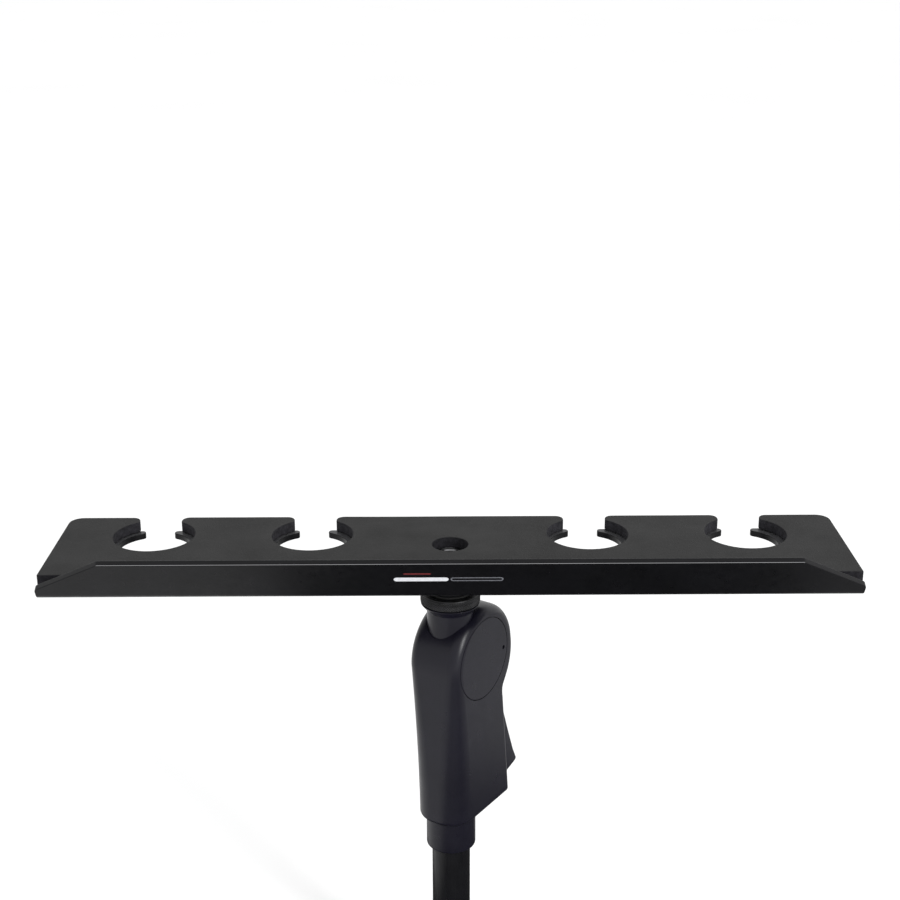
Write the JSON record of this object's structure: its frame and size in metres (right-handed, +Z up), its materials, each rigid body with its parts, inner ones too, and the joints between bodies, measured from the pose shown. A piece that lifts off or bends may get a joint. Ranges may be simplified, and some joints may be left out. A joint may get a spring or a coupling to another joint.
{
  "type": "microphone tray on a stand grip",
  "caption": "Padded steel tray with open-backed microphone cut-outs, screwed to the one-hand height grip at the top of a microphone stand.",
  "frame": {"origin": "on the stand tube's axis, at the tube's lower end, where the base holds it", "axes": "+Z up the tube, +X along the tray to the right seen from its front, -Y towards the tray's front, where the lip is"},
  "size_m": [0.43, 0.1128, 0.3156],
  "materials": {
    "powder_coat": "black powder coat with a fine even texture",
    "foam": "matt closed-cell foam",
    "nylon": "black moulded nylon, satin",
    "ring_metal": "black plated, knurled",
    "rubber": "matt",
    "tube_paint": "smooth black paint",
    "plated_steel": "zinc plated",
    "spring_steel": "drawn wire",
    "acetal": "natural acetal"
  },
  "bodies": {
    "stand": {"outer_tube": "tube_paint", "tube_end_plug": "plated_steel", "lower_bush": "acetal", "collar": "nylon", "collar_screw": "plated_steel", "grip_housing": "nylon", "neck_bush": "nylon", "side_cap_right": "nylon", "side_cap_left": "nylon", "trigger_pin": "plated_steel", "trigger_spacer": "acetal", "trigger_spring": "spring_steel", "fulcrum_insert": "plated_steel", "plate_spring": "spring_steel", "spring_washer": "plated_steel"},
    "mast": {"inner_tube": "tube_paint", "inner_tube_ferrule": "acetal", "thread_stud": "plated_steel"},
    "lock_ring": {"lock_ring": "ring_metal", "lock_ring_washer": "rubber"},
    "tray": {"tray_plate": "powder_coat", "foam_pad": "foam", "thread_boss": "powder_coat"},
    "trigger": {"trigger": "nylon"},
    "lock_plates": {"lock_plate_lower": "plated_steel", "lock_plate_middle": "plated_steel", "lock_plate_upper": "plated_steel"}
  },
  "joints": [
    {"name": "mast_slide", "type": "slide", "parent": "stand", "child": "mast", "axis": [0, 0, 1], "range_m": [0, 0.108]},
    {"name": "lock_ring_turn", "type": "hinge", "parent": "mast", "child": "lock_ring", "pos_m": [0, 0, 0.267], "axis": [0, 0, 1], "continuous": true},
    {"name": "tray_turn", "type": "hinge", "parent": "mast", "child": "tray", "pos_m": [0, 0, 0.29], "axis": [0, 0, 1], "continuous": true},
    {"name": "trigger_squeeze", "type": "hinge", "parent": "stand", "child": "trigger", "pos_m": [0.01644, 0.02437, 0.2299], "axis": [-0.829, 0.5592, 0], "range_deg": [0, 12], "stiffness_Nm_per_rad": 2, "springref_deg": -8.59, "deforming": ["trigger_spring"]},
    {"name": "lock_plates_tilt", "type": "hinge", "parent": "stand", "child": "lock_plates", "pos_m": [-0.00811, -0.01202, 0.2138], "axis": [0.829, -0.5592, 0], "range_deg": [0, 5.4], "deforming": ["plate_spring"]}
  ],
  "couplings": [
    {"joint": "lock_plates_tilt", "follows": "trigger_squeeze", "ratio": 0.45}
  ]
}
